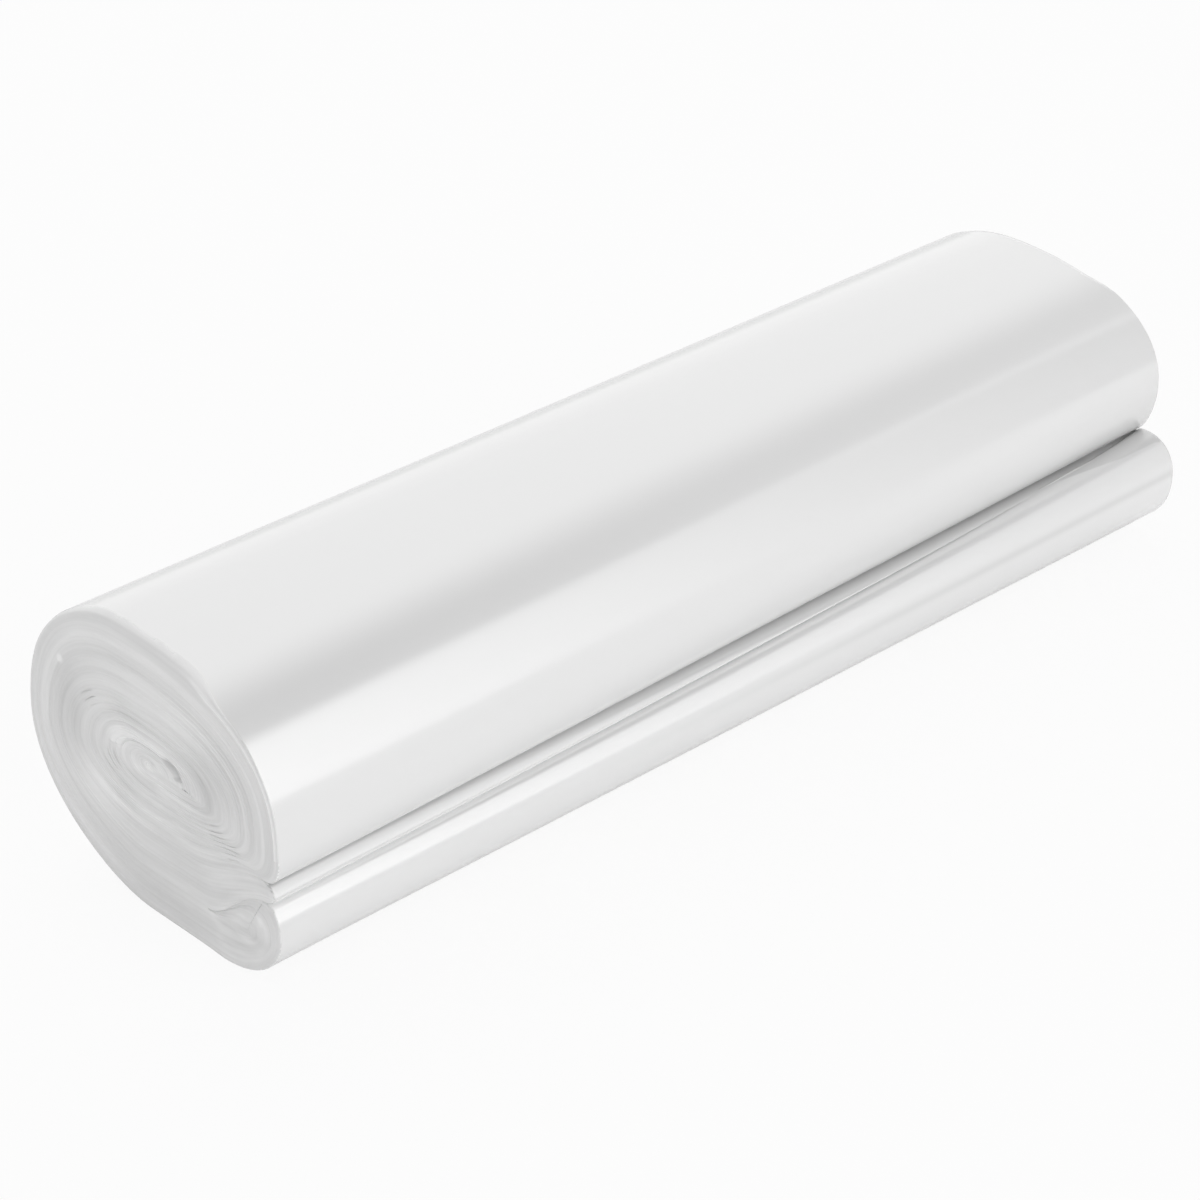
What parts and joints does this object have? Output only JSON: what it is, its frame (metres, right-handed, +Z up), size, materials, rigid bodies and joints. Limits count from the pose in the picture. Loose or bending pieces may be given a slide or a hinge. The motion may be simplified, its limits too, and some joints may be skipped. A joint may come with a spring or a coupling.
{
  "type": "roll of shrink film",
  "caption": "Coreless roll of clear shrink film: a flat bundle of layers folded in two and rolled up, with the fold as a round lip along its foot.",
  "frame": {"origin": "on the table, in the middle of the roll's bounding box seen from above", "axes": "+X along the roll from its looser end to its tighter one, +Y towards the back of the roll, away from the fold, +Z up"},
  "size_m": [0.3, 0.0936, 0.0725],
  "materials": {
    "film": "glossy, clear film in many layers, milky white where it is thick"
  },
  "bodies": {
    "root": {"film_roll": "film"}
  },
  "joints": []
}
